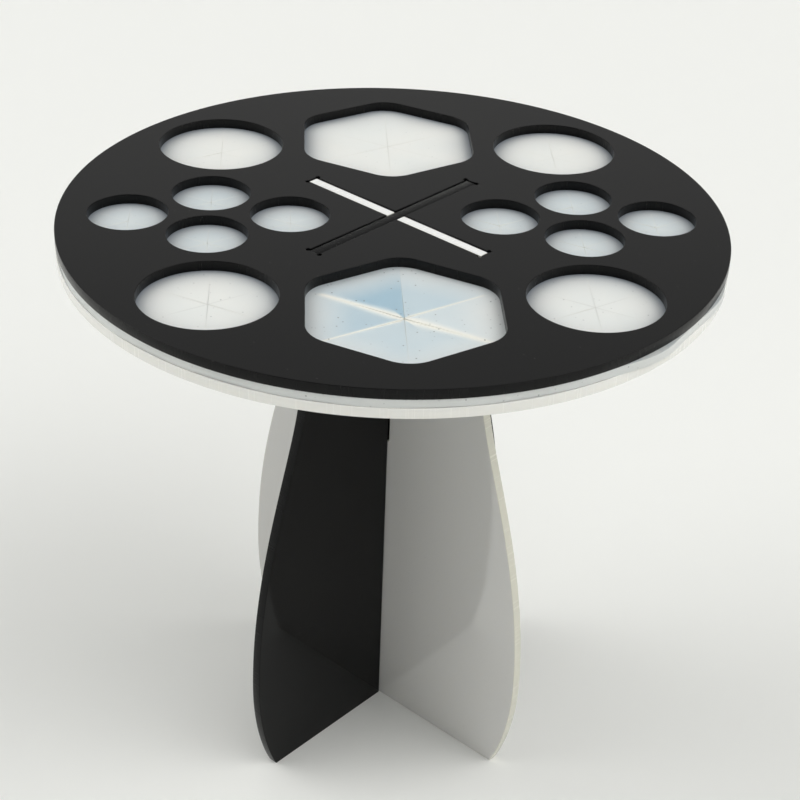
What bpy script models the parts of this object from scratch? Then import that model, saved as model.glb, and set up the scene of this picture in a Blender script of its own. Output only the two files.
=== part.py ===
"""Brush drying stand that comes apart and packs flat.

Two round acrylic plates hold a slit silicone sheet between them, and this deck
rests on the shoulders of two crossed acrylic legs, whose tabs come up through an
X-shaped slot. Brushes hang head down from the slits. Units are metres, +Z is up,
and the origin is on the floor under the middle of the stand.
"""

import math

import bmesh
import bpy
from mathutils import Matrix, Vector
from mathutils.geometry import interpolate_bezier

# Driving dimensions
STAND_HEIGHT = 0.184  # floor to the top face of the deck
PLATE_RADIUS = 0.100
ACRYLIC = 0.0031  # sheet that the plates and the legs are cut from
SILICONE = 0.0020  # sheet between the plates
FIT_GAP = 0.0003  # left between faces that touch

# Brush openings, the same in both plates
LARGE_RADIUS = 0.0196
LARGE_X, LARGE_Y = 0.0536, 0.0505
SMALL_RADIUS = 0.0119
SMALL_PITCH = 0.0276  # four small holes in a rhombus of this side
SMALL_GROUP_X = 0.0553  # middle of the rhombus
HEX_APOTHEM = 0.0271
HEX_CORNER_RADIUS = 0.0105
HEX_Y = 0.0573

# Star of slits in the silicone under each opening
SLIT_WIDTH = 0.0003
SLIT_LANDING = 0.0022  # left between the end of a slit and the edge of the opening

# X-shaped slot for the tabs, with a small relief hole at each corner
TAB_HALF_LENGTH = 0.0347
SLOT_END_GAP = 0.0003
SLOT_SIDE_GAP = 0.0004
RELIEF_RADIUS = 0.00075
RELIEF_INSET = 0.0003  # from the slot's end to the middle of a relief hole
RELIEF_OFFSET = 0.0003  # from the slot's side to the middle of a relief hole
TAB_RECESS = 0.0002  # tabs stop just under the top face

# Side profile of a leg: half width and height at each point of the outline
SHOULDER_HALF_WIDTH = 0.0384
WAIST_Z = 0.1420
WAIST_HANDLE = 0.0217
BELLY_HALF_WIDTH = 0.0593
BELLY_Z = 0.0359
BELLY_HANDLE_UP = 0.0511
BELLY_HANDLE_DOWN = 0.0221
FOOT_HALF_WIDTH = 0.0519
LAP_Z = 0.1050  # height at which the two legs meet in their lap slots

# Cutters
CUT_DEPTH = 0.02  # cutters run well past both faces of the deck
CUT_LIFT = 0.005  # from the middle of a deck cutter up to the top face
OPEN_END = 0.01  # a lap cutter runs this far past the edge of its leg
LAP_CUTTER_DEPTH = 0.01  # across the leg's sheet

# Facets
RIM_FACETS = 128
LARGE_FACETS = 64
SMALL_FACETS = 48
RELIEF_FACETS = 12
HEX_CORNER_FACETS = 8
BELLY_FACETS = 20
FOOT_FACETS = 12

# Heights and sizes that follow from the dimensions above
SHEET_TOP = STAND_HEIGHT - ACRYLIC - FIT_GAP
LOWER_PLATE_TOP = SHEET_TOP - SILICONE - FIT_GAP
DECK_UNDERSIDE = LOWER_PLATE_TOP - ACRYLIC
SHOULDER_Z = DECK_UNDERSIDE - FIT_GAP
TAB_TOP = STAND_HEIGHT - TAB_RECESS
SLOT_HALF_LENGTH = TAB_HALF_LENGTH + SLOT_END_GAP
SLOT_HALF_WIDTH = ACRYLIC / 2 + SLOT_SIDE_GAP
LAP_WIDTH = ACRYLIC + 2 * FIT_GAP

LARGE_HOLES = [(sx * LARGE_X, sy * LARGE_Y) for sx in (-1, 1) for sy in (-1, 1)]
SMALL_REACH = SMALL_PITCH * math.cos(math.radians(30))
SMALL_RHOMBUS = [
    (SMALL_REACH, 0.0),
    (-SMALL_REACH, 0.0),
    (0.0, SMALL_PITCH / 2),
    (0.0, -SMALL_PITCH / 2),
]
SMALL_HOLES = [
    (side * SMALL_GROUP_X + dx, dy) for side in (-1, 1) for dx, dy in SMALL_RHOMBUS
]
HEX_HOLES = [(0.0, -HEX_Y), (0.0, HEX_Y)]
LEG_ANGLES = {"black_leg": math.radians(45), "white_leg": math.radians(-45)}


def new_collection(name):
    """Makes a collection in the scene."""
    collection = bpy.data.collections.new(name)
    bpy.context.scene.collection.children.link(collection)
    return collection


def new_material(name, colour, roughness, transmission=0.0):
    """Makes a plastic's Principled material."""
    material = bpy.data.materials.new(name)
    material.use_nodes = True
    shader = material.node_tree.nodes["Principled BSDF"]
    shader.inputs["Base Color"].default_value = (*colour, 1.0)
    shader.inputs["Roughness"].default_value = roughness
    shader.inputs["Metallic"].default_value = 0.0
    shader.inputs["Transmission Weight"].default_value = transmission
    material.diffuse_color = (*colour, 1.0)
    return material


def mesh_object(name, bm, collection):
    """Turns a bmesh into a named object in a collection."""
    mesh = bpy.data.meshes.new(name)
    bm.to_mesh(mesh)
    bm.free()
    obj = bpy.data.objects.new(name, mesh)
    collection.objects.link(obj)
    return obj


def disc(name, radius, thickness, facets, collection):
    """A round plate about its own middle, its wall smooth and its faces flat."""
    bm = bmesh.new()
    bmesh.ops.create_cone(
        bm,
        cap_ends=True,
        segments=facets,
        radius1=radius,
        radius2=radius,
        depth=thickness,
    )
    for face in bm.faces:
        face.smooth = abs(face.normal.z) < 0.5
    return mesh_object(name, bm, collection)


def bar(name, size, collection):
    """A box about its own middle."""
    bm = bmesh.new()
    bmesh.ops.create_cube(bm, size=1.0)
    bmesh.ops.scale(bm, vec=Vector(size), verts=bm.verts)
    return mesh_object(name, bm, collection)


def rounded_hexagon(name, collection):
    """A six-sided prism with rounded upright edges and a corner towards +Y."""
    bm = bmesh.new()
    circumradius = HEX_APOTHEM / math.cos(math.radians(30))
    bmesh.ops.create_cone(
        bm,
        cap_ends=True,
        segments=6,
        radius1=circumradius,
        radius2=circumradius,
        depth=CUT_DEPTH,
    )
    upright = [e for e in bm.edges if abs(e.verts[0].co.z - e.verts[1].co.z) > 0.001]
    bmesh.ops.bevel(
        bm,
        geom=upright,
        offset=HEX_CORNER_RADIUS * math.tan(math.radians(30)),
        offset_type="OFFSET",
        segments=HEX_CORNER_FACETS,
        profile=0.5,
        affect="EDGES",
    )
    for face in bm.faces:
        face.smooth = abs(face.normal.z) < 0.5
    return mesh_object(name, bm, collection)


def as_cutter(obj, location, angle=0.0):
    """Places a cutter in the deck, turned about Z, and draws it as wire."""
    obj.location = location
    obj.rotation_euler = (0.0, 0.0, angle)
    obj.hide_render = True
    obj.display_type = "WIRE"
    return obj


def cut_with(obj, cutters):
    """Cuts every object of a collection out of this one."""
    modifier = obj.modifiers.new("cut_outs", "BOOLEAN")
    modifier.operation = "DIFFERENCE"
    modifier.operand_type = "COLLECTION"
    modifier.collection = cutters
    modifier.solver = "EXACT"


def make_brush_cutters(collection):
    """The fourteen openings that brushes go through."""
    middle = STAND_HEIGHT - CUT_LIFT
    for i, (x, y) in enumerate(LARGE_HOLES):
        cutter = disc(f"large_cutter_{i}", LARGE_RADIUS, CUT_DEPTH, LARGE_FACETS, collection)
        as_cutter(cutter, (x, y, middle))
    for i, (x, y) in enumerate(SMALL_HOLES):
        cutter = disc(f"small_cutter_{i}", SMALL_RADIUS, CUT_DEPTH, SMALL_FACETS, collection)
        as_cutter(cutter, (x, y, middle))
    for i, (x, y) in enumerate(HEX_HOLES):
        cutter = rounded_hexagon(f"hexagon_cutter_{i}", collection)
        as_cutter(cutter, (x, y, middle))


def make_slot_cutters(collection):
    """The X-shaped slot, each arm with a relief hole at its four corners."""
    middle = STAND_HEIGHT - CUT_LIFT
    relief_x = SLOT_HALF_LENGTH - RELIEF_INSET
    relief_y = SLOT_HALF_WIDTH + RELIEF_OFFSET
    for leg, angle in LEG_ANGLES.items():
        arm = bar(
            f"slot_cutter_{leg}",
            (2 * SLOT_HALF_LENGTH, 2 * SLOT_HALF_WIDTH, CUT_DEPTH),
            collection,
        )
        as_cutter(arm, (0.0, 0.0, middle), angle)
        turn = Matrix.Rotation(angle, 3, "Z")
        for sx in (-1, 1):
            for sy in (-1, 1):
                spot = turn @ Vector((sx * relief_x, sy * relief_y, 0.0))
                relief = disc(
                    f"relief_cutter_{leg}_{sx}_{sy}",
                    RELIEF_RADIUS,
                    CUT_DEPTH,
                    RELIEF_FACETS,
                    collection,
                )
                as_cutter(relief, (spot.x, spot.y, middle))


def make_slit_cutters(collection):
    """Three thin bars across each opening, which leave a star of six slits."""
    hex_reach = (HEX_APOTHEM - HEX_CORNER_RADIUS) / math.cos(math.radians(30))
    hex_reach += HEX_CORNER_RADIUS
    stars = [(x, y, LARGE_RADIUS) for x, y in LARGE_HOLES]
    stars += [(x, y, SMALL_RADIUS) for x, y in SMALL_HOLES]
    stars += [(x, y, hex_reach) for x, y in HEX_HOLES]
    for i, (x, y, reach) in enumerate(stars):
        length = 2 * (reach - SLIT_LANDING)
        for degrees in (30, 90, 150):
            slit = bar(f"slit_cutter_{i}_{degrees}", (length, SLIT_WIDTH, CUT_DEPTH), collection)
            middle = SHEET_TOP - SILICONE / 2
            as_cutter(slit, (x, y, middle), math.radians(degrees))


def make_deck(parts, plate_cutters, sheet_cutters, materials):
    """The two plates and the silicone sheet, on an empty at the deck's underside."""
    deck = bpy.data.objects.new("deck", None)
    deck.location = (0.0, 0.0, DECK_UNDERSIDE)
    parts.objects.link(deck)
    layers = (
        ("top_plate", STAND_HEIGHT, ACRYLIC, plate_cutters, "black_acrylic"),
        ("silicone_sheet", SHEET_TOP, SILICONE, sheet_cutters, "milky_silicone"),
        ("bottom_plate", LOWER_PLATE_TOP, ACRYLIC, plate_cutters, "white_acrylic"),
    )
    for name, top, thickness, cutters, material in layers:
        layer = disc(name, PLATE_RADIUS, thickness, RIM_FACETS, parts)
        layer.data.materials.append(materials[material])
        layer.parent = deck
        layer.location = (0.0, 0.0, top - thickness / 2 - DECK_UNDERSIDE)
        cut_with(layer, cutters)


def leg_side():
    """One side of a leg's outline, from the foot's corner up to the tab's corner."""
    foot = Vector((FOOT_HALF_WIDTH, 0.0))
    belly = Vector((BELLY_HALF_WIDTH, BELLY_Z))
    waist = Vector((SHOULDER_HALF_WIDTH, WAIST_Z))
    below_belly = belly - Vector((0.0, BELLY_HANDLE_DOWN))
    above_belly = belly + Vector((0.0, BELLY_HANDLE_UP))
    below_waist = waist - Vector((0.0, WAIST_HANDLE))
    side = interpolate_bezier(foot, foot, below_belly, belly, FOOT_FACETS)
    side += interpolate_bezier(belly, above_belly, below_waist, waist, BELLY_FACETS)[1:]
    side.append(Vector((SHOULDER_HALF_WIDTH, SHOULDER_Z)))
    side.append(Vector((TAB_HALF_LENGTH, SHOULDER_Z)))
    side.append(Vector((TAB_HALF_LENGTH, TAB_TOP)))
    return side


def leg_blank(name, parts):
    """A leg as it is cut from the sheet, before its lap slot, standing along X."""
    side = leg_side()
    outline = side + [Vector((-p.x, p.y)) for p in reversed(side)]
    curve = bpy.data.curves.new(f"{name}_outline", "CURVE")
    curve.dimensions = "2D"
    curve.fill_mode = "BOTH"
    curve.extrude = ACRYLIC / 2
    spline = curve.splines.new("POLY")
    spline.points.add(len(outline) - 1)
    for point, spot in zip(spline.points, outline):
        point.co = (spot.x, spot.y, 0.0, 1.0)
    spline.use_cyclic_u = True
    flat = bpy.data.objects.new(f"{name}_flat", curve)
    flat.rotation_euler = (math.radians(90), 0.0, LEG_ANGLES[name])
    parts.objects.link(flat)
    bpy.context.view_layer.update()
    depsgraph = bpy.context.evaluated_depsgraph_get()
    mesh = bpy.data.meshes.new_from_object(flat.evaluated_get(depsgraph))
    bm = bmesh.new()
    bm.from_mesh(mesh)
    bmesh.ops.remove_doubles(bm, verts=bm.verts, dist=1e-6)
    bm.to_mesh(mesh)
    bm.free()
    leg = bpy.data.objects.new(name, mesh)
    leg.matrix_world = flat.matrix_world
    parts.objects.link(leg)
    bpy.data.objects.remove(flat)
    return leg


def make_leg(name, material, lap_from, lap_to, parts, cutters):
    """A leg with its half-lap slot, which runs between two heights."""
    leg = leg_blank(name, parts)
    leg.data.materials.clear()
    leg.data.materials.append(material)
    depth = lap_to - lap_from
    lap = bar(f"lap_cutter_{name}", (LAP_WIDTH, LAP_CUTTER_DEPTH, depth), cutters)
    as_cutter(lap, (0.0, 0.0, lap_from + depth / 2), LEG_ANGLES[name])
    modifier = leg.modifiers.new("lap_slot", "BOOLEAN")
    modifier.operation = "DIFFERENCE"
    modifier.object = lap
    modifier.solver = "EXACT"


for existing in list(bpy.data.objects):
    bpy.data.objects.remove(existing, do_unlink=True)

stand = new_collection("brush_drying_stand")
plate_cutters = new_collection("plate_cutters")
sheet_cutters = new_collection("sheet_cutters")
lap_cutters = new_collection("lap_cutters")

finishes = {
    "black_acrylic": new_material("black_acrylic", (0.012, 0.012, 0.013), 0.12),
    "white_acrylic": new_material("white_acrylic", (0.83, 0.83, 0.80), 0.15),
    "milky_silicone": new_material("milky_silicone", (0.80, 0.84, 0.86), 0.45, 0.5),
}

make_brush_cutters(plate_cutters)
make_slot_cutters(plate_cutters)
for cutter in plate_cutters.objects:
    if cutter.name.startswith(("slot_", "relief_")):
        sheet_cutters.objects.link(cutter)
make_slit_cutters(sheet_cutters)
make_deck(stand, plate_cutters, sheet_cutters, finishes)

# The white leg's slot opens upwards and the black leg drops into it
white, black = finishes["white_acrylic"], finishes["black_acrylic"]
make_leg("white_leg", white, LAP_Z, TAB_TOP + OPEN_END, stand, lap_cutters)
make_leg("black_leg", black, -OPEN_END, LAP_Z + FIT_GAP, stand, lap_cutters)
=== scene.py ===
"""A brush drying stand cut from black and white acrylic, with a slit silicone sheet.

The sections follow the stand as it is put together: the white leg stands first, the
black leg drops into it, and the deck of two plates with the sheet between them goes on
top. Lengths are in metres, +Z is up, and the floor is at z = 0.
"""

import math

import bmesh
import bpy
import numpy as np
from mathutils import Matrix, Vector
from mathutils.geometry import delaunay_2d_cdt


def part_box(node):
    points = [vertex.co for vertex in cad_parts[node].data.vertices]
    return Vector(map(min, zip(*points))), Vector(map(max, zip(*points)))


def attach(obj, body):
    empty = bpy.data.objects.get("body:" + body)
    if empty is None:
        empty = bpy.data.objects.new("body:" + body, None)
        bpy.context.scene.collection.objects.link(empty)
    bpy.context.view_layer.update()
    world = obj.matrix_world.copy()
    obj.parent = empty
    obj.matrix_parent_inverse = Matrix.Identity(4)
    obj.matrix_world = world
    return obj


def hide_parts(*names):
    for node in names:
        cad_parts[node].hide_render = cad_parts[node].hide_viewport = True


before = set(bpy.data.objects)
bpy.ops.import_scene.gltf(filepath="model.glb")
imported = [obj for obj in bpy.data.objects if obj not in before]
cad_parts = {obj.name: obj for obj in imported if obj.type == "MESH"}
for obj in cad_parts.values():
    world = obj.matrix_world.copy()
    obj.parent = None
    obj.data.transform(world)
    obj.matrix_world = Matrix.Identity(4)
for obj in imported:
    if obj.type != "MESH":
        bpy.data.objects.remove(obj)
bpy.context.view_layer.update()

# ---------------------------------------------------------------------------
# The camera looks down on the deck from the front, a little to the left, with
# a slight roll. Its place is worked out from the top plate's own box.
# ---------------------------------------------------------------------------
plate_low, plate_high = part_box("top_plate")
deck_radius = (plate_high.x - plate_low.x) / 2
deck_top = plate_high.z

swing = math.radians(-5.776)
rise = math.radians(31.641)
roll = math.radians(3.253)
aim = Vector((0.0999 * deck_radius, -1.0485 * deck_radius, deck_top))
distance = 4.5255 * deck_radius

back = Vector(
    (math.sin(swing) * math.cos(rise), -math.cos(swing) * math.cos(rise), math.sin(rise))
)
level_right = Vector((0.0, 0.0, 1.0)).cross(back).normalized()
level_up = back.cross(level_right)
camera_right = math.cos(roll) * level_right + math.sin(roll) * level_up
camera_up = math.cos(roll) * level_up - math.sin(roll) * level_right

camera_data = bpy.data.cameras.new("camera")
camera_data.lens = 81.37
camera_data.sensor_width = 36.0
camera_data.shift_x = -0.0673
camera_data.clip_start = 0.01
camera_data.clip_end = 50.0
camera = bpy.data.objects.new("camera", camera_data)
camera.matrix_world = Matrix.Translation(aim + distance * back) @ Matrix(
    (camera_right, camera_up, back)
).transposed().to_4x4()
bpy.context.scene.collection.objects.link(camera)
bpy.context.scene.camera = camera
bpy.context.scene.view_settings.view_transform = "Standard"

# ---------------------------------------------------------------------------
# The white leg is laser cut from a sheet of opal acrylic: a belly that swells
# out above the foot, a tab on top, and a slot half way down its middle. It
# stands across the deck from front right to back left.
# ---------------------------------------------------------------------------
acrylic_sheet = plate_high.z - plate_low.z
foot_half_width = 0.0519
belly_half_width, belly_height = 0.0593, 0.0359
belly_pull_down, belly_pull_up = 0.0221, 0.0511
shoulder_half_width, waist_height = 0.0384, 0.1420
waist_pull = 0.0217
fit_gap = 0.0003  # left wherever two pieces meet
shoulder_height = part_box("bottom_plate")[0].z - fit_gap
tab_half_width = 0.0347
tab_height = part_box("white_leg")[1].z
lap_height = 0.1050
lap_half_width = acrylic_sheet / 2 + fit_gap
belly_points, foot_points = 120, 48
corner_radius = 0.0004
edge_rounding = 0.00018


def bezier(start, pull_start, pull_end, end, count, crowding=1.0):
    """Points of a cubic curve from one end to the other.

    Each point is the mean of the start, the two pulls and the end, weighted by
    (1 - t) cubed, 3 t (1 - t) squared, 3 t squared (1 - t) and t cubed. A crowding
    of one half spreads the points evenly where the first pull is at the start.
    """
    t = np.linspace(0.0, 1.0, count)[:, None] ** crowding
    corners = (np.array(c, float) for c in (start, pull_start, pull_end, end))
    weights = ((1 - t) ** 3, 3 * t * (1 - t) ** 2, 3 * t**2 * (1 - t), t**3)
    return sum(w * c for w, c in zip(weights, corners))


sharp_turn = math.radians(25)  # a joint of the outline that turns less is smooth


def soften(outline, radius, steps=5):
    """An outline with each sharp corner turned into a small arc.

    A corner that turns by an angle a becomes a parabola that starts and ends
    radius * tan(a / 2) away from it. Where the outline runs smoothly on, the
    reach is nothing and the point stays.
    """
    coming = outline - np.roll(outline, 1, axis=0)
    coming /= np.linalg.norm(coming, axis=1, keepdims=True)
    going = np.roll(coming, -1, axis=0)
    turn = np.arccos(np.clip(np.sum(coming * going, axis=1), -1.0, 1.0))
    sharp = turn > sharp_turn
    reach = np.where(sharp, radius * np.tan(turn / 2), 0.0)[:, None, None]
    s = np.linspace(0.0, 1.0, steps)[None, :, None]
    point, coming, going = outline[:, None], coming[:, None], going[:, None]
    arcs = point - reach * coming * (1 - s) ** 2 + reach * going * s**2
    kept = sharp[:, None] | (np.arange(steps) == 0)[None, :]
    return arcs[kept]


def inward(outline):
    """Mitred normals towards the material, which lies to the left of an outline.

    Each is the sum of the left-hand normals of the two edges at a point, divided
    by one plus their product, so that both edges move in by the same amount.
    """
    along = np.roll(outline, -1, axis=0) - outline
    along /= np.linalg.norm(along, axis=1, keepdims=True)
    left = np.stack((-along[:, 1], along[:, 0]), axis=1)
    before = np.roll(left, 1, axis=0)
    return (left + before) / (1 + np.sum(left * before, axis=1))[:, None]


def cut_profile(thickness, rounding, steps=4):
    """How far in and how high each row of a cut edge is, from bottom to top.

    A quarter of a circle leads from the lower face to the wall, and another from
    the wall to the upper face.
    """
    a = np.linspace(0.0, math.pi / 2, steps)
    inset = rounding * (1 - np.sin(a))
    height = rounding * (1 - np.cos(a)) - thickness / 2
    return np.concatenate((inset, inset[::-1])), np.concatenate((height, -height[::-1]))


def cut_wall(outline, insets, heights):
    """The cut profile carried along an outline, as a grid of points.

    Point (i, j) is outline point i, moved in by inset j and set at height j.
    """
    flat = outline[:, None] + insets[None, :, None] * inward(outline)[:, None]
    tall = np.broadcast_to(heights[None, :, None], (*flat.shape[:2], 1))
    return np.concatenate((flat, tall), axis=2)


def ring_quads(columns, rows):
    """Quads over a grid whose columns close into a ring."""
    i, j = np.meshgrid(np.arange(columns), np.arange(rows - 1), indexing="ij")
    here = i * rows + j
    beside = (i + 1) % columns * rows + j
    return np.stack((here, beside, beside + 1, here + 1), axis=-1).reshape(-1, 4)


def fill_between(outlines):
    """Triangles of the flat face inside the first outline and outside the rest.

    The outlines' points are triangulated with their edges kept. A triangle stays
    if a line from its middle towards +X crosses the outlines an odd number of times.
    """
    points = np.concatenate(outlines)
    edges, first = [], 0
    for outline in outlines:
        index = first + np.arange(len(outline))
        edges.append(np.stack((index, np.roll(index, -1)), axis=1))
        first += len(outline)
    edges = np.concatenate(edges)
    result = delaunay_2d_cdt(
        [Vector(p) for p in points.tolist()], edges.tolist(), [], 0, 1e-9
    )
    origin = np.array([found[0] for found in result[3]])
    triangles = origin[np.array(result[2])]
    a, b, c = (points[triangles[:, k]] for k in range(3))
    turns_right = np.cross(b - a, c - a) < 0
    triangles[turns_right] = triangles[turns_right][:, ::-1]
    middle = (a + b + c) / 3
    low, high = points[edges[:, 0]], points[edges[:, 1]]
    above = middle[:, None, 1] < np.stack((low[:, 1], high[:, 1]))[:, None, :]
    slope = (high[:, 0] - low[:, 0]) / (high[:, 1] - low[:, 1] + 1e-15)
    cross_x = low[:, 0] + (middle[:, None, 1] - low[:, 1]) * slope
    crossings = np.sum((above[0] != above[1]) & (middle[:, None, 0] < cross_x), axis=1)
    return triangles[crossings % 2 == 1]


def cut_part(outlines, thickness, rounding):
    """A part cut from sheet, lying flat about z = 0: points, quads and triangles.

    Every outline gets a wall with the cut profile, and the two faces are filled
    between the walls' first rows and between their last rows.
    """
    insets, heights = cut_profile(thickness, rounding)
    rows = len(insets)
    walls = [cut_wall(outline, insets, heights) for outline in outlines]
    starts = np.cumsum([0] + [wall.shape[0] * rows for wall in walls])
    quads = [ring_quads(wall.shape[0], rows) + s for wall, s in zip(walls, starts)]
    triangles = fill_between([wall[:, 0, :2] for wall in walls])
    lowest = np.concatenate(
        [np.arange(wall.shape[0]) * rows + s for wall, s in zip(walls, starts)]
    )
    faces = np.concatenate((lowest[triangles][:, ::-1], lowest[triangles] + rows - 1))
    points = np.concatenate([wall.reshape(-1, 3) for wall in walls])
    return points, np.concatenate(quads), faces


def cut_piece(name, outlines, thickness, rounding, axes, middle):
    """A part cut from sheet as an object, with its faces flat and its cut edges smooth.

    Its flat x, y and z go along the three axes, from the middle. The attribute
    cut_edge is one on the walls and nothing on the two faces.
    """
    points, quads, triangles = cut_part(outlines, thickness, rounding)
    points = points @ np.array(axes, float) + np.array(middle, float)
    mesh = bpy.data.meshes.new(name)
    mesh.from_pydata(points.tolist(), [], quads.tolist() + triangles.tolist())
    on_edge = np.arange(len(mesh.polygons)) < len(quads)
    mesh.polygons.foreach_set("use_smooth", on_edge)
    cut_edge = mesh.attributes.new("cut_edge", "FLOAT", "FACE")
    cut_edge.data.foreach_set("value", on_edge.astype(np.float32))
    piece = bpy.data.objects.new(name, mesh)
    bpy.context.scene.collection.objects.link(piece)
    return piece


def leg_outline(slot_opens_up):
    """A leg's outline, anticlockwise from the foot's right corner.

    A point is how far it lies from the leg's middle line, and its height.
    """
    right = [
        bezier(
            (foot_half_width, 0.0),
            (foot_half_width, 0.0),
            (belly_half_width, belly_height - belly_pull_down),
            (belly_half_width, belly_height),
            foot_points,
            crowding=0.5,
        ),
        bezier(
            (belly_half_width, belly_height),
            (belly_half_width, belly_height + belly_pull_up),
            (shoulder_half_width, waist_height - waist_pull),
            (shoulder_half_width, waist_height),
            belly_points,
        )[1:],
        [
            (shoulder_half_width, shoulder_height),
            (tab_half_width, shoulder_height),
            (tab_half_width, tab_height),
        ],
    ]
    right = np.concatenate(right)
    left = right[::-1] * (-1, 1)
    if slot_opens_up:
        slot = [
            (lap_half_width, tab_height),
            (lap_half_width, lap_height),
            (-lap_half_width, lap_height),
            (-lap_half_width, tab_height),
        ]
        return soften(np.concatenate((right, slot, left)), corner_radius)
    slot_top = lap_height + fit_gap
    slot = [
        (-lap_half_width, 0.0),
        (-lap_half_width, slot_top),
        (lap_half_width, slot_top),
        (lap_half_width, 0.0),
    ]
    return soften(np.concatenate((right, left, slot)), corner_radius)


def across(angle):
    """Axes of a leg that stands at an angle: along it, up, and through its sheet."""
    return (
        (math.cos(angle), math.sin(angle), 0.0),
        (0.0, 0.0, 1.0),
        (math.sin(angle), -math.cos(angle), 0.0),
    )


def new_finish(name):
    """An empty procedural material: its nodes, its links and its Principled shader."""
    material = bpy.data.materials.new(name)
    material.use_nodes = True
    tree = material.node_tree
    return material, tree.nodes, tree.links, tree.nodes["Principled BSDF"]


# A cut edge turns lighter, as painted light, between these depths below the deck's top.
lit_edge_from, lit_edge_to = 0.0005, 0.0002  # below the deck's top


def acrylic_finish(
    name, face_colour, edge_colour, lit_edge_colour, angle, scatter, shine
):
    """Glossy cast acrylic whose laser-cut edges have fine lines across the sheet.

    A cut edge that comes up level with the deck's top is painted a lighter colour,
    as painted light where light falls on it from above. The angle turns the lines
    with a leg, and is None for a plate that lies flat. Scatter lets light into opal
    sheet, and shine is its gloss.
    """
    material, nodes, links, shader = new_finish(name)
    place = nodes.new("ShaderNodeTexCoord")
    turn = nodes.new("ShaderNodeMapping")
    links.new(place.outputs["Object"], turn.inputs["Vector"])
    lines = nodes.new("ShaderNodeMapping")
    lines.vector_type = "TEXTURE"
    links.new(turn.outputs["Vector"], lines.inputs["Vector"])
    narrow, long = 0.0005, 0.05
    if angle is None:
        lines.inputs["Scale"].default_value = (narrow, narrow, long)
    else:
        turn.inputs["Rotation"].default_value = (0.0, 0.0, -angle)
        lines.inputs["Scale"].default_value = (narrow, long, narrow)

    cut = nodes.new("ShaderNodeAttribute")
    cut.attribute_name = "cut_edge"
    drag = nodes.new("ShaderNodeTexNoise")
    drag.inputs["Scale"].default_value = 1.0
    drag.inputs["Detail"].default_value = 2.0
    links.new(lines.outputs["Vector"], drag.inputs["Vector"])

    cloud = nodes.new("ShaderNodeTexNoise")
    cloud.inputs["Scale"].default_value = 30.0
    cloud.inputs["Detail"].default_value = 4.0
    links.new(turn.outputs["Vector"], cloud.inputs["Vector"])

    dust = nodes.new("ShaderNodeTexVoronoi")
    dust.inputs["Scale"].default_value = 220.0
    links.new(turn.outputs["Vector"], dust.inputs["Vector"])
    speck = nodes.new("ShaderNodeMapRange")
    speck.inputs["From Min"].default_value = 0.02
    speck.inputs["From Max"].default_value = 0.045
    speck.inputs["To Min"].default_value = 1.0
    speck.inputs["To Max"].default_value = 0.0
    links.new(dust.outputs["Distance"], speck.inputs["Value"])

    height = nodes.new("ShaderNodeSeparateXYZ")
    links.new(place.outputs["Object"], height.inputs["Vector"])
    # Painted light: a cut edge turns lighter where it comes up level with the deck's top.
    lit_edge = nodes.new("ShaderNodeMapRange")
    lit_edge.inputs["From Min"].default_value = deck_top - lit_edge_from
    lit_edge.inputs["From Max"].default_value = deck_top - lit_edge_to
    links.new(height.outputs["Z"], lit_edge.inputs["Value"])
    edge = nodes.new("ShaderNodeMix")
    edge.data_type = "RGBA"
    edge.inputs["A"].default_value = (*edge_colour, 1.0)
    edge.inputs["B"].default_value = (*lit_edge_colour, 1.0)
    links.new(lit_edge.outputs["Result"], edge.inputs["Factor"])
    base = nodes.new("ShaderNodeMix")
    base.data_type = "RGBA"
    base.inputs["A"].default_value = (*face_colour, 1.0)
    links.new(edge.outputs["Result"], base.inputs["B"])
    links.new(cut.outputs["Fac"], base.inputs["Factor"])
    dusty = nodes.new("ShaderNodeMix")
    dusty.data_type = "RGBA"
    dusty.inputs["B"].default_value = (0.16, 0.155, 0.15, 1.0)
    faint = nodes.new("ShaderNodeMath")
    faint.operation = "MULTIPLY"
    faint.inputs[1].default_value = 0.35
    links.new(speck.outputs["Result"], faint.inputs[0])
    links.new(faint.outputs["Value"], dusty.inputs["Factor"])
    links.new(base.outputs["Result"], dusty.inputs["A"])
    links.new(dusty.outputs["Result"], shader.inputs["Base Color"])

    face_gloss = nodes.new("ShaderNodeMapRange")
    face_gloss.inputs["To Min"].default_value = 0.04
    face_gloss.inputs["To Max"].default_value = 0.08
    links.new(cloud.outputs["Fac"], face_gloss.inputs["Value"])
    edge_gloss = nodes.new("ShaderNodeMapRange")
    edge_gloss.inputs["To Min"].default_value = 0.16
    edge_gloss.inputs["To Max"].default_value = 0.34
    links.new(drag.outputs["Fac"], edge_gloss.inputs["Value"])
    gloss = nodes.new("ShaderNodeMix")
    links.new(cut.outputs["Fac"], gloss.inputs["Factor"])
    links.new(face_gloss.outputs["Result"], gloss.inputs["A"])
    links.new(edge_gloss.outputs["Result"], gloss.inputs["B"])
    links.new(gloss.outputs["Result"], shader.inputs["Roughness"])

    relief = nodes.new("ShaderNodeMix")
    links.new(cut.outputs["Fac"], relief.inputs["Factor"])
    links.new(cloud.outputs["Fac"], relief.inputs["A"])
    links.new(drag.outputs["Fac"], relief.inputs["B"])
    bump = nodes.new("ShaderNodeBump")
    bump.inputs["Strength"].default_value = 0.25
    bump.inputs["Distance"].default_value = 0.00004
    links.new(relief.outputs["Result"], bump.inputs["Height"])
    links.new(bump.outputs["Normal"], shader.inputs["Normal"])

    shader.inputs["IOR"].default_value = 1.49
    shader.inputs["Specular IOR Level"].default_value = shine
    shader.inputs["Subsurface Weight"].default_value = scatter
    shader.inputs["Subsurface Radius"].default_value = (1.0, 0.9, 0.7)
    shader.inputs["Subsurface Scale"].default_value = 0.0025
    return material


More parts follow.
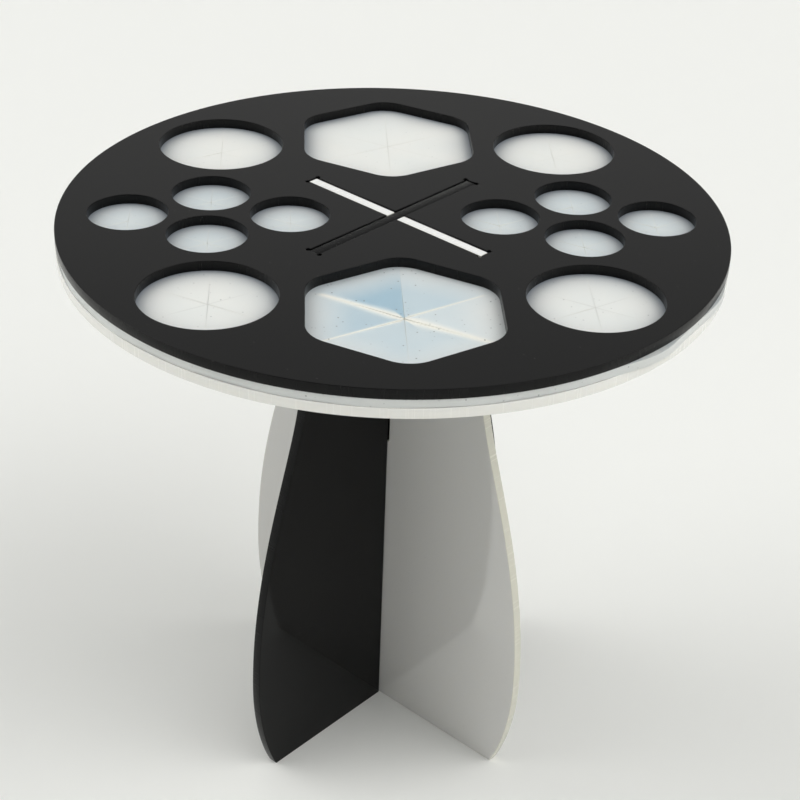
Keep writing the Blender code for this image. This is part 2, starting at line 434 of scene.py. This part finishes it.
white_angle = math.radians(-45)
white_face, white_cut = (0.60, 0.595, 0.58), (0.60, 0.59, 0.51)
# Painted light: the lighter colour of the white leg's cut edge at the tab's top.
lit_tab_edge = (0.93, 0.93, 0.91)
white_leg = cut_piece(
    "leg_white",
    [leg_outline(slot_opens_up=True)],
    acrylic_sheet,
    edge_rounding,
    across(white_angle),
    (0.0, 0.0, 0.0),
)
white_leg.data.materials.append(
    acrylic_finish(
        "white_leg_acrylic", white_face, white_cut, lit_tab_edge, white_angle, 0.15, 1.0
    )
)
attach(white_leg, "white_leg")
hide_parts("white_leg")

# ---------------------------------------------------------------------------
# The black leg is cut to the same outline from black acrylic, with its slot
# open at the foot, and drops over the white one from above.
# ---------------------------------------------------------------------------
black_angle = math.radians(45)
black_face, black_cut = (0.002, 0.002, 0.0021), (0.0015, 0.0015, 0.0017)
black_leg = cut_piece(
    "leg_black",
    [leg_outline(slot_opens_up=False)],
    acrylic_sheet,
    edge_rounding,
    across(black_angle),
    (0.0, 0.0, 0.0),
)
black_leg.data.materials.append(
    acrylic_finish(
        "black_leg_acrylic", black_face, black_cut, black_cut, black_angle, 0.0, 0.16
    )
)
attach(black_leg, "black_leg")
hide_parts("black_leg")

# ---------------------------------------------------------------------------
# The bottom plate is a disc of white acrylic under the silicone, with fourteen
# brush openings and the X-shaped slot that the legs' tabs come up through.
# ---------------------------------------------------------------------------
large_radius, large_x, large_y = 0.0196, 0.0536, 0.0505
small_radius, small_pitch, small_group_x = 0.0119, 0.0276, 0.0553
hexagon_apothem, hexagon_corner, hexagon_y = 0.0271, 0.0105, 0.0573
plate_face, plate_cut = (0.65, 0.645, 0.63), (0.82, 0.815, 0.78)
slot_half_length = tab_half_width + fit_gap
slot_half_width = acrylic_sheet / 2 + 0.0004
relief_radius, relief_inset = 0.00075, 0.0003
rim_points, large_points, small_points, hexagon_points = 512, 180, 132, 240
relief_points = 14


def round_reach(radius):
    """Reach of a round opening: its radius, whatever the direction."""
    return lambda angle: np.full_like(angle, radius)


def hexagon_reach(apothem, corner):
    """Reach of a rounded hexagon, from its middle, with a corner towards +Y.

    With f the angle from the nearest corner, the reach is apothem / cos(30 - f)
    along a side. On the arc of a corner, whose middle is c away, it is
    c cos(f) plus the root of corner squared less c squared sin squared (f).
    """
    third = math.radians(30)
    c = (apothem - corner) / math.cos(third)
    arc_end = math.atan2(corner * math.sin(third), c + corner * math.cos(third))

    def reach(angle):
        f = (angle - third) % (2 * third)
        f = np.minimum(f, 2 * third - f)
        side = apothem / np.cos(third - f)
        inside = np.maximum(corner**2 - (c * np.sin(f)) ** 2, 0.0)
        return np.where(f < arc_end, c * np.cos(f) + np.sqrt(inside), side)

    return reach


def opening(middle, reach, count):
    """An opening's outline, clockwise, so that the material lies to its left."""
    angle = -2 * math.pi * np.arange(count) / count
    way = np.stack((np.cos(angle), np.sin(angle)), axis=1)
    return np.array(middle) + reach(angle)[:, None] * way


def slot_outline():
    """The X-shaped slot, clockwise, with a round relief at each corner of an arm.

    One arm is drawn from the corner between two arms, round its lower relief,
    across its end and round its upper relief. The rest are turned copies.
    """
    lean = math.asin(relief_inset / relief_radius)
    sweep = np.linspace(math.pi - lean, 2.5 * math.pi - lean, relief_points)
    ring = relief_radius * np.stack((np.cos(sweep), np.sin(sweep)), axis=1)
    lower = ring + (slot_half_length - relief_inset, -slot_half_width - relief_inset)
    upper = lower[::-1] * (1, -1)
    arm = np.concatenate(([(slot_half_width, -slot_half_width)], lower, upper))
    turns = [math.radians(a) for a in (45, 135, 225, 315)]
    arms = [
        arm @ np.array(((math.cos(a), math.sin(a)), (-math.sin(a), math.cos(a))))
        for a in turns
    ]
    return np.concatenate(arms)[::-1]


both_sides = (-1, 1)
small_reach_x = small_pitch * math.cos(math.radians(30))
large_openings = [
    (side * large_x, end * large_y) for side in both_sides for end in both_sides
]
small_openings = [
    (side * small_group_x + dx, dy)
    for side in both_sides
    for dx, dy in (
        (small_reach_x, 0.0),
        (-small_reach_x, 0.0),
        (0.0, small_pitch / 2),
        (0.0, -small_pitch / 2),
    )
]
hexagon_openings = [(0.0, -hexagon_y), (0.0, hexagon_y)]
large_round, small_round = round_reach(large_radius), round_reach(small_radius)
rounded_hexagon = hexagon_reach(hexagon_apothem, hexagon_corner)


def plate_outlines():
    """A plate's outlines: its rim, the brush openings and the slot for the tabs."""
    outlines = [opening((0.0, 0.0), round_reach(deck_radius), rim_points)[::-1]]
    outlines += [opening(p, large_round, large_points) for p in large_openings]
    outlines += [opening(p, small_round, small_points) for p in small_openings]
    outlines += [opening(p, rounded_hexagon, hexagon_points) for p in hexagon_openings]
    return outlines + [slot_outline()]


flat_axes = ((1.0, 0.0, 0.0), (0.0, 1.0, 0.0), (0.0, 0.0, 1.0))


def deck_plate(name, node):
    """A plate cut to the shared outlines, in the place of its node."""
    low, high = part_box(node)
    return cut_piece(
        name,
        plate_outlines(),
        high.z - low.z,
        edge_rounding,
        flat_axes,
        (0.0, 0.0, (low.z + high.z) / 2),
    )


bottom_plate = deck_plate("plate_bottom_white", "bottom_plate")
bottom_plate.data.materials.append(
    acrylic_finish(
        "bottom_plate_acrylic", plate_face, plate_cut, plate_cut, None, 0.15, 0.45
    )
)
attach(bottom_plate, "deck")
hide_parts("bottom_plate")

# ---------------------------------------------------------------------------
# The sheet is milky silicone, cut by hand to the plates' size and held between
# them. Six slits under each opening leave a star of flaps, which grip a brush by
# its handle. The flaps of the front hexagon hang a little, and carry painted
# light along their slits and painted shade in their milk.
# ---------------------------------------------------------------------------
plate_touch = 0.00002  # left between the sheet and each plate
sheet_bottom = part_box("bottom_plate")[1].z + plate_touch
sheet_top = plate_low.z - plate_touch
clamped = 0.0008  # how far a star's grid runs on under the plates
slit_landing = 0.0022  # left between the end of a slit and the opening's edge
slit_half_gap = 0.00003
shade_depth = 0.0039
# Painted shade along each slit: its strength and the width of its bell curve.
slit_shade_level, slit_shade_width = 0.22, 0.00022
droop_power = 1.35
slit_light_fade = 0.06  # share of the reach over which the painted slit light stops short of a slit's end
slit_light_taper = 0.7  # share of its width that the painted slit light loses by the edge
flap_rows, landing_rows, flap_columns = 18, 5, 21
flap_share = (1 - np.cos(np.linspace(0.0, math.pi, flap_columns))) / 2


def flap(middle, reach, corner_reach, start, droop, slit_light, slit_shade):
    """One flap of a star: its upper face as a grid of points, and what colours them.

    A row is a share s of the way from the star's middle to the clamped ring, and
    a column is a share t of the sixth of a turn from the start angle. The tip
    keeps clear of the slits by half a gap, which closes where the slits end.
    The flap hangs by droop times x to the droop power, where x is nothing at its
    hinge, the line between its slits' ends, and one at the tip. Painted light in
    cream lies along each slit, as a bell curve of the distance from the slit, for
    light scattered out of the cut faces. The slit light is how strong and how wide
    that is at the star's middle, for either side. Painted shade darkens the milk as
    e to the power minus the distance from the opening's edge over its depth, for
    light lost under the plates. A narrower bell curve of painted shade darkens the
    slits too. The last value is the share of its own tone that the flap keeps,
    which falls off towards the opening's edge as painted light from the white
    plate below.
    """
    slit_end = (corner_reach - slit_landing) / (corner_reach + clamped)
    inner = np.linspace(0.0, slit_end, flap_rows)
    outer = np.linspace(slit_end, 1.0, landing_rows)
    s = np.concatenate((inner, outer[1:]))[:, None]
    t = flap_share[None, :]
    sixth = math.radians(60)
    angle = start + sixth * t
    mid_angle = start + sixth / 2
    rim = reach(angle) + clamped
    tip = np.clip(1 - s / slit_end, 0.0, 1.0) * slit_half_gap / math.sin(sixth / 2)
    x = middle[0] + s * rim * np.cos(angle) + tip * math.cos(mid_angle)
    y = middle[1] + s * rim * np.sin(angle) + tip * math.sin(mid_angle)
    hinge = (corner_reach - slit_landing) * math.cos(sixth / 2)
    hinge = hinge / np.cos(angle - mid_angle) / rim
    bend = np.clip(1 - s / hinge, 0.0, 1.0)
    away = s * rim * np.sin(sixth * np.minimum(t, 1 - t))
    fade = np.clip((slit_end - s) / slit_light_fade, 0.0, 1.0)
    # Painted light in cream along each slit, for light scattered out of the cut faces.
    strength, width = np.moveaxis(np.array(slit_light)[(t > 0.5).astype(int)], -1, 0)
    width = width * (1 - slit_light_taper * s)
    cream_and_slit_light = strength * fade * np.exp(-((away / width) ** 2))
    # Painted shade: darker towards the opening's edge, where light is lost under the
    # plates, and in a narrow line along each slit.
    from_edge = np.maximum(rim * (1 - s) - clamped, 0.0)
    slit_shade = slit_shade * fade * np.exp(-((away / slit_shade_width) ** 2))
    painted_shade = np.maximum(np.exp(-from_edge / shade_depth), slit_shade)
    # The flap's blue and painted shade fade out towards the opening's edge, as painted
    # light from the white plate below.
    middle_share = 1 - 0.7 * np.clip((s - 0.5) / 0.4, 0.0, 1.0) * np.ones_like(t)
    points = np.stack((x, y, -droop * bend**droop_power), axis=-1)
    return points, cream_and_slit_light, painted_shade, middle_share


def grid_quads(rows, columns):
    """Quads over an open grid, which face up when a row runs anticlockwise."""
    i, j = np.meshgrid(np.arange(rows - 1), np.arange(columns - 1), indexing="ij")
    here = i * columns + j
    return np.stack(
        (here, here + columns, here + columns + 1, here + 1), axis=-1
    ).reshape(-1, 4)


def flap_shell(grid):
    """A flap's two faces and its two cut sides: points, quads, and which quads are cut.

    The lower face is the upper one moved down by the sheet's thickness. The cut
    sides stop at the slits' ends.
    """
    rows, columns = grid.shape[:2]
    upper = grid.reshape(-1, 3) + (0.0, 0.0, sheet_top)
    lower = upper - (0.0, 0.0, sheet_top - sheet_bottom)
    count = len(upper)
    faces = grid_quads(rows, columns)
    first = np.arange(flap_rows - 1) * columns
    last = first + columns - 1
    under, next_row = count, columns
    start_side = (first, first + under, first + under + next_row, first + next_row)
    end_side = (last, last + next_row, last + under + next_row, last + under)
    sides = (np.stack(start_side, axis=1), np.stack(end_side, axis=1))
    quads = np.concatenate((faces, faces[:, ::-1] + count, *sides))
    is_cut = np.arange(len(quads)) >= 2 * len(faces)
    return np.concatenate((upper, lower)), quads, is_cut


def flap_ring(middle, reach):
    """The ring round a star where its flaps meet the rest of the sheet, clockwise."""
    turns = np.arange(6)[:, None] + flap_share[None, :-1]
    angle = math.radians(30) + math.radians(60) * turns.ravel()
    way = np.stack((np.cos(angle), np.sin(angle)), axis=1)
    ring = np.array(middle) + (reach(angle) + clamped)[:, None] * way
    return ring[::-1]


def hand_cut_rim(count):
    """The sheet's rim: the plates' circle, with a few slow waves where the knife strayed.

    The waves are sines of the angle, on a circle a little inside the plates'. Two
    bulges at the front right, each a bell curve of the angle, stand out past them.
    """
    angle = 2 * math.pi * np.arange(count) / count
    stray = 0.00015 * np.sin(7 * angle + 0.6) + 0.0001 * np.sin(23 * angle + 2.0)
    radius = deck_radius - 0.00035 + stray
    for bulge, at, width in ((0.0014, 334, 0.10), (0.0017, 312, 0.12)):
        radius = radius + bulge * np.exp(-(((angle - math.radians(at)) / width) ** 2))
    return np.stack((radius * np.cos(angle), radius * np.sin(angle)), axis=1)


front_hexagon_star = hexagon_openings[0]


def star_droops(middle):
    """How far each flap's tip hangs, anticlockwise from the flap at 30 degrees."""
    if middle == front_hexagon_star:
        return (0.0, 0.0001, 0.0004, 0.0006, 0.0005, 0.00015)
    seed = int(1e4 * (middle[0] + 0.2)) * 977 + int(1e4 * (middle[1] + 0.2))
    return np.random.default_rng(seed).uniform(0.0, 0.00012, 6)


def star_blue_and_shade(middle, radius):
    """How blue and dark the milk of each flap is: its own bluish tint, deepened as
    painted shade where a dark leg lies behind a flap or a small opening's wall shades it.
    """
    if middle == front_hexagon_star:
        return (0.62, 1.0, 0.75, 0.53, 0.50, 0.38)
    return (0.30 if radius == small_radius else 0.05,) * 6


def star_slit_light(middle):
    """Strength and width of the painted light at each slit, anticlockwise from 30
    degrees.
    """
    if middle == front_hexagon_star:
        return (
            (0.85, 0.0006), (0.10, 0.0004), (1.0, 0.0022),
            (0.95, 0.0007), (0.15, 0.0004), (1.0, 0.0024),
        )
    return ((0.12, 0.0005),) * 6


def star_dust(middle):
    """How much a star's dust shows: most on the front hexagon, and least at the back."""
    if middle == front_hexagon_star:
        return 1.0
    return 0.5 if middle[1] < -small_pitch else 0.2


stars = [(p, large_round, large_radius) for p in large_openings]
stars += [(p, small_round, small_radius) for p in small_openings]
hexagon_corner_reach = float(rounded_hexagon(np.array([math.radians(30)]))[0])
stars += [(p, rounded_hexagon, hexagon_corner_reach) for p in hexagon_openings]

sheet_points, sheet_quads, sheet_cuts, count = [], [], [], 0
sheet_cream_and_slit_light, sheet_blue_and_shade, sheet_painted_shade, sheet_dust = [], [], [], []
for middle, reach, corner_reach in stars:
    slit_light, blue_and_shade = star_slit_light(middle), star_blue_and_shade(middle, corner_reach)
    shade = 0.35 if middle == front_hexagon_star else 0.85
    dustiness = star_dust(middle)
    # The painted shade along the slits is weaker where less dust shows.
    slit_shade = slit_shade_level * min(1.0, 2 * dustiness)
    for k, droop in enumerate(star_droops(middle)):
        start = math.radians(30 + 60 * k)
        sides = (slit_light[k], slit_light[(k + 1) % 6])
        grid, cream_and_slit_light, painted_shade, middle_share = flap(
            middle, reach, corner_reach, start, droop, sides, slit_shade
        )
        points, quads, is_cut = flap_shell(grid)
        sheet_points.append(points)
        sheet_quads.append(quads + count)
        sheet_cuts.append(is_cut)
        sheet_cream_and_slit_light.append(np.tile(cream_and_slit_light.ravel(), 2))
        sheet_blue_and_shade.append(np.tile(blue_and_shade[k] * middle_share.ravel(), 2))
        sheet_painted_shade.append(np.tile(shade * painted_shade.ravel(), 2))
        sheet_dust.append(np.full(len(points), dustiness))
        count += len(points)

sheet_half = (sheet_top - sheet_bottom) / 2
sheet_rounding = 0.00012
insets, heights = cut_profile(2 * sheet_half, sheet_rounding)
rows = len(insets)
sheet_outlines = (hand_cut_rim(rim_points), slot_outline())
sheet_walls = [cut_wall(outline, insets, heights) for outline in sheet_outlines]
rings = [flap_ring(middle, reach) for middle, reach, _ in stars]
flat_triangles = fill_between([wall[:, 0, :2] for wall in sheet_walls] + rings)
flat_points = np.concatenate([wall[:, 0, :2] for wall in sheet_walls] + rings)
sheet_middle = (sheet_top + sheet_bottom) / 2
# Between the stars, the sheet's two faces lie hidden under the plates.
for height, winding in ((sheet_half, 1), (-sheet_half, -1)):
    level = np.full((len(flat_points), 1), sheet_middle + height)
    sheet_points.append(np.concatenate((flat_points, level), axis=1))
    triangles = flat_triangles[:, ::winding] + count
    sheet_quads.append(np.concatenate((triangles, triangles[:, 2:]), axis=1))
    sheet_cuts.append(np.zeros(len(triangles), bool))
    # These hidden faces get fixed values, painted shade among them.
    for values, level in (
        (sheet_cream_and_slit_light, 0.0), (sheet_blue_and_shade, 0.2), (sheet_painted_shade, 0.3), (sheet_dust, 0.5)
    ):
        values.append(np.full(len(flat_points), level))
    count += len(flat_points)
# The rim and the slot for the tabs show, and have their own tone and dust, with painted
# shade for the plate above them.
for wall in sheet_walls:
    sheet_points.append(wall.reshape(-1, 3) + (0.0, 0.0, sheet_middle))
    quads = ring_quads(wall.shape[0], rows) + count
    sheet_quads.append(quads)
    sheet_cuts.append(np.zeros(len(quads), bool))
    for values, level in (
        (sheet_cream_and_slit_light, 0.25), (sheet_blue_and_shade, 0.1), (sheet_painted_shade, 0.35), (sheet_dust, 1.0)
    ):
        values.append(np.full(wall.shape[0] * rows, level))
    count += wall.shape[0] * rows

sheet_points = np.concatenate(sheet_points)
sheet_quads = np.concatenate(sheet_quads).tolist()
sheet_faces = [face[:3] if face[2] == face[3] else face for face in sheet_quads]
same_point, sharp_fold = 2e-7, math.radians(50)
sheet_mesh = bpy.data.meshes.new("silicone_sheet_slit")
sheet_mesh.from_pydata(sheet_points.tolist(), [], sheet_faces)
cut_edge = sheet_mesh.attributes.new("cut_edge", "FLOAT", "FACE")
cut_edge.data.foreach_set("value", np.concatenate(sheet_cuts).astype(np.float32))
for name, values in (
    ("cream_and_slit_light", sheet_cream_and_slit_light), ("blue_and_shade", sheet_blue_and_shade),
    ("painted_shade", sheet_painted_shade), ("dustiness", sheet_dust),
):
    attribute = sheet_mesh.attributes.new(name, "FLOAT", "POINT")
    attribute.data.foreach_set("value", np.concatenate(values).astype(np.float32))
sheet_mesh.polygons.foreach_set("use_smooth", np.ones(len(sheet_faces), bool))
bm = bmesh.new()
bm.from_mesh(sheet_mesh)
bmesh.ops.remove_doubles(bm, verts=bm.verts, dist=same_point)
bm.to_mesh(sheet_mesh)
bm.free()
sheet_mesh.set_sharp_from_angle(angle=sharp_fold)
silicone_sheet = bpy.data.objects.new("silicone_sheet_slit", sheet_mesh)
bpy.context.scene.collection.objects.link(silicone_sheet)


def silicone_finish():
    """Milky silicone: bluish, with painted shade deepening the blue, and warm where light
    comes through.

    The milk and the light that comes through are one mix of shaders. Cut faces
    are cream, flap edges along the slits carry painted light in the same cream,
    and both let less through. Painted shade darkens the milk near an opening's
    edge, along the slits and at the rim, and specks of dust lie on the faces.
    """
    material, nodes, links, milk = new_finish("milky_silicone")
    place = nodes.new("ShaderNodeTexCoord")
    cut = nodes.new("ShaderNodeAttribute")
    cut.attribute_name = "cut_edge"
    white = nodes.new("ShaderNodeAttribute")
    white.attribute_name = "cream_and_slit_light"

    # The milk's own bluish tint, deepened as painted shade where flaps read darker.
    blue = nodes.new("ShaderNodeAttribute")
    blue.attribute_name = "blue_and_shade"
    cloud = nodes.new("ShaderNodeTexNoise")
    cloud.inputs["Scale"].default_value = 45.0
    cloud.inputs["Detail"].default_value = 3.0
    links.new(place.outputs["Object"], cloud.inputs["Vector"])
    drift = nodes.new("ShaderNodeMapRange")
    drift.inputs["To Min"].default_value = -0.15
    drift.inputs["To Max"].default_value = 0.15
    links.new(cloud.outputs["Fac"], drift.inputs["Value"])
    depth = nodes.new("ShaderNodeMath")
    depth.use_clamp = True
    links.new(blue.outputs["Fac"], depth.inputs[0])
    links.new(drift.outputs["Result"], depth.inputs[1])
    tone = nodes.new("ShaderNodeMix")
    tone.data_type = "RGBA"
    tone.inputs["A"].default_value = (0.985, 0.99, 0.955, 1.0)
    tone.inputs["B"].default_value = (0.53, 0.76, 0.92, 1.0)
    links.new(depth.outputs["Value"], tone.inputs["Factor"])
    # Painted shade near the openings' edges, along the slits and on the rim.
    dark = nodes.new("ShaderNodeAttribute")
    dark.attribute_name = "painted_shade"
    shaded = nodes.new("ShaderNodeMix")
    shaded.data_type = "RGBA"
    shaded.inputs["B"].default_value = (0.19, 0.23, 0.29, 1.0)
    links.new(dark.outputs["Fac"], shaded.inputs["Factor"])
    links.new(tone.outputs["Result"], shaded.inputs["A"])

    # Cream for the cut faces, and painted light in the same cream along the slits.
    cream = nodes.new("ShaderNodeMath")
    cream.operation = "MAXIMUM"
    links.new(cut.outputs["Fac"], cream.inputs[0])
    links.new(white.outputs["Fac"], cream.inputs[1])
    base = nodes.new("ShaderNodeMix")
    base.data_type = "RGBA"
    base.inputs["B"].default_value = (0.96, 0.95, 0.88, 1.0)
    links.new(cream.outputs["Value"], base.inputs["Factor"])
    links.new(shaded.outputs["Result"], base.inputs["A"])

    dust = nodes.new("ShaderNodeTexVoronoi")
    dust.inputs["Scale"].default_value = 420.0
    links.new(place.outputs["Object"], dust.inputs["Vector"])
    speck = nodes.new("ShaderNodeMapRange")
    speck.inputs["From Min"].default_value = 0.06
    speck.inputs["From Max"].default_value = 0.14
    speck.inputs["To Min"].default_value = 0.7
    speck.inputs["To Max"].default_value = 0.0
    links.new(dust.outputs["Distance"], speck.inputs["Value"])
    some = nodes.new("ShaderNodeMapRange")
    some.inputs["From Min"].default_value = 0.2
    some.inputs["From Max"].default_value = 0.9
    some.inputs["To Max"].default_value = 1.3
    links.new(dust.outputs["Color"], some.inputs["Value"])
    sparse = nodes.new("ShaderNodeMath")
    sparse.operation = "MULTIPLY"
    links.new(speck.outputs["Result"], sparse.inputs[0])
    links.new(some.outputs["Result"], sparse.inputs[1])
    dusted = nodes.new("ShaderNodeAttribute")
    dusted.attribute_name = "dustiness"
    laid = nodes.new("ShaderNodeMath")
    laid.operation = "MULTIPLY"
    links.new(sparse.outputs["Value"], laid.inputs[0])
    links.new(dusted.outputs["Fac"], laid.inputs[1])
    on_face = nodes.new("ShaderNodeMath")
    on_face.operation = "SUBTRACT"
    on_face.use_clamp = True
    links.new(laid.outputs["Value"], on_face.inputs[0])
    links.new(cut.outputs["Fac"], on_face.inputs[1])
    dusty = nodes.new("ShaderNodeMix")
    dusty.data_type = "RGBA"
    dusty.inputs["B"].default_value = (0.06, 0.07, 0.09, 1.0)
    links.new(on_face.outputs["Value"], dusty.inputs["Factor"])
    links.new(base.outputs["Result"], dusty.inputs["A"])
    links.new(dusty.outputs["Result"], milk.inputs["Base Color"])

    grain = nodes.new("ShaderNodeTexNoise")
    grain.inputs["Scale"].default_value = 1800.0
    links.new(place.outputs["Object"], grain.inputs["Vector"])
    bump = nodes.new("ShaderNodeBump")
    bump.inputs["Strength"].default_value = 0.3
    bump.inputs["Distance"].default_value = 0.00005
    links.new(grain.outputs["Fac"], bump.inputs["Height"])
    matt = nodes.new("ShaderNodeMapRange")
    matt.inputs["To Min"].default_value = 0.38
    matt.inputs["To Max"].default_value = 0.52
    links.new(cloud.outputs["Fac"], matt.inputs["Value"])
    through = nodes.new("ShaderNodeBsdfPrincipled")
    through.inputs["Base Color"].default_value = (0.98, 0.90, 0.78, 1.0)
    through.inputs["Transmission Weight"].default_value = 1.0
    for shader in (milk, through):
        links.new(bump.outputs["Normal"], shader.inputs["Normal"])
        links.new(matt.outputs["Result"], shader.inputs["Roughness"])
        shader.inputs["IOR"].default_value = 1.41

    open_milk = nodes.new("ShaderNodeMapRange")
    open_milk.inputs["To Min"].default_value = 0.16
    open_milk.inputs["To Max"].default_value = 0.38
    links.new(depth.outputs["Value"], open_milk.inputs["Value"])
    clear = nodes.new("ShaderNodeMix")
    clear.inputs["B"].default_value = 0.08
    links.new(cream.outputs["Value"], clear.inputs["Factor"])
    links.new(open_milk.outputs["Result"], clear.inputs["A"])
    both = nodes.new("ShaderNodeMixShader")
    links.new(clear.outputs["Result"], both.inputs["Fac"])
    links.new(milk.outputs["BSDF"], both.inputs[1])
    links.new(through.outputs["BSDF"], both.inputs[2])
    links.new(both.outputs["Shader"], nodes["Material Output"].inputs["Surface"])
    return material


sheet_mesh.materials.append(silicone_finish())
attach(silicone_sheet, "deck")
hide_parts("silicone_sheet")

# ---------------------------------------------------------------------------
# The top plate is a disc of black acrylic with the same cut-outs, and closes
# the deck over the silicone.
# ---------------------------------------------------------------------------
top_plate = deck_plate("plate_top_black", "top_plate")
top_plate.data.materials.append(
    acrylic_finish("top_plate_acrylic", black_face, black_cut, black_cut, None, 0.0, 0.19)
)
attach(top_plate, "deck")
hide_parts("top_plate")

# ---------------------------------------------------------------------------
# The floor is a pale matt table that sweeps up far away, in a white room with
# soft light from windows on both sides and in front, and a pale wall behind.
# ---------------------------------------------------------------------------
floor_reach, floor_sweep = 1.6, 1.2
floor_colour, floor_roughness = (0.87, 0.875, 0.855), 0.75


def floor_surface(columns=96, rows=40):
    """A disc that turns up at its rim.

    Radius and height run along the flat first, and then round a quarter circle.
    """
    flat = np.linspace(0.0, floor_reach, rows)[1:]
    a = np.linspace(0.0, math.pi / 2, rows)[1:]
    radius = np.concatenate((flat, floor_reach + floor_sweep * np.sin(a)))
    height = np.concatenate((0.0 * flat, floor_sweep * (1 - np.cos(a))))
    turn = 2 * math.pi * np.arange(columns)[:, None] / columns
    grid = np.stack(
        (radius * np.cos(turn), radius * np.sin(turn), height + 0.0 * turn), axis=-1
    )
    points = np.concatenate((grid.reshape(-1, 3), [(0.0, 0.0, 0.0)]))
    quads = ring_quads(columns, len(radius))[:, ::-1]  # they face up
    first = np.arange(columns) * len(radius)
    hub = np.full(columns, len(points) - 1)
    fan = np.stack((hub, first, np.roll(first, -1)), axis=1)
    return points, quads.tolist() + fan.tolist()


floor_points, floor_faces = floor_surface()
floor_mesh = bpy.data.meshes.new("floor")
floor_mesh.from_pydata(floor_points.tolist(), [], floor_faces)
floor_mesh.polygons.foreach_set("use_smooth", np.ones(len(floor_faces), bool))
floor = bpy.data.objects.new("floor", floor_mesh)
bpy.context.scene.collection.objects.link(floor)
floor_material, _, _, floor_shader = new_finish("pale_table")
floor_shader.inputs["Base Color"].default_value = (*floor_colour, 1.0)
floor_shader.inputs["Roughness"].default_value = floor_roughness
floor_mesh.materials.append(floor_material)

world = bpy.data.worlds.new("soft_room")
bpy.context.scene.world = world
world.use_nodes = True
sky = world.node_tree.nodes
sky_links = world.node_tree.links
way = sky.new("ShaderNodeTexCoord")
parts = sky.new("ShaderNodeSeparateXYZ")
sky_links.new(way.outputs["Generated"], parts.inputs["Vector"])


def step(operation, first, second=None):
    """One step of arithmetic on the room's light: its result's socket."""
    node = sky.new("ShaderNodeMath")
    node.operation = operation
    for socket, value in zip(node.inputs, (first, second)):
        if isinstance(value, float):
            socket.default_value = value
        elif value is not None:
            sky_links.new(value, socket)
    return node.outputs["Value"]


def glow(bearing, height, tightness, level):
    """One soft light in the room, where 0 degrees is the deck's right and 90 its back.

    Its brightness is level times e to the power tightness * (cos(a) - 1), where a
    is the angle away from the light's middle.
    """
    bearing, height = math.radians(bearing), math.radians(height)
    toward = sky.new("ShaderNodeVectorMath")
    toward.operation = "DOT_PRODUCT"
    sky_links.new(way.outputs["Generated"], toward.inputs[0])
    toward.inputs[1].default_value = (
        math.cos(height) * math.cos(bearing),
        math.cos(height) * math.sin(bearing),
        math.sin(height),
    )
    away = step("SUBTRACT", toward.outputs["Value"], 1.0)
    fall = step("EXPONENT", step("MULTIPLY", away, tightness))
    return step("MULTIPLY", fall, level)


left_window = glow(170.0, 36.0, 12.0, 3.6)
right_window = glow(-12.0, 40.0, 12.0, 3.4)
front_window = glow(-65.0, 56.0, 10.0, 1.3)
back_wall = glow(90.0, 30.0, 3.0, 0.52)
rise_of_light = sky.new("ShaderNodeMapRange")
rise_of_light.interpolation_type = "SMOOTHSTEP"
rise_of_light.inputs["From Min"].default_value = 0.0
rise_of_light.inputs["From Max"].default_value = 0.45
sky_links.new(parts.outputs["Z"], rise_of_light.inputs["Value"])
windows = step("ADD", step("ADD", left_window, right_window), front_window)
all_light = step("ADD", windows, back_wall)
all_light = step("MULTIPLY", all_light, rise_of_light.outputs["Result"])
sky_links.new(all_light, sky["Background"].inputs["Strength"])
sky["Background"].inputs["Color"].default_value = (1.0, 1.0, 0.985, 1.0)
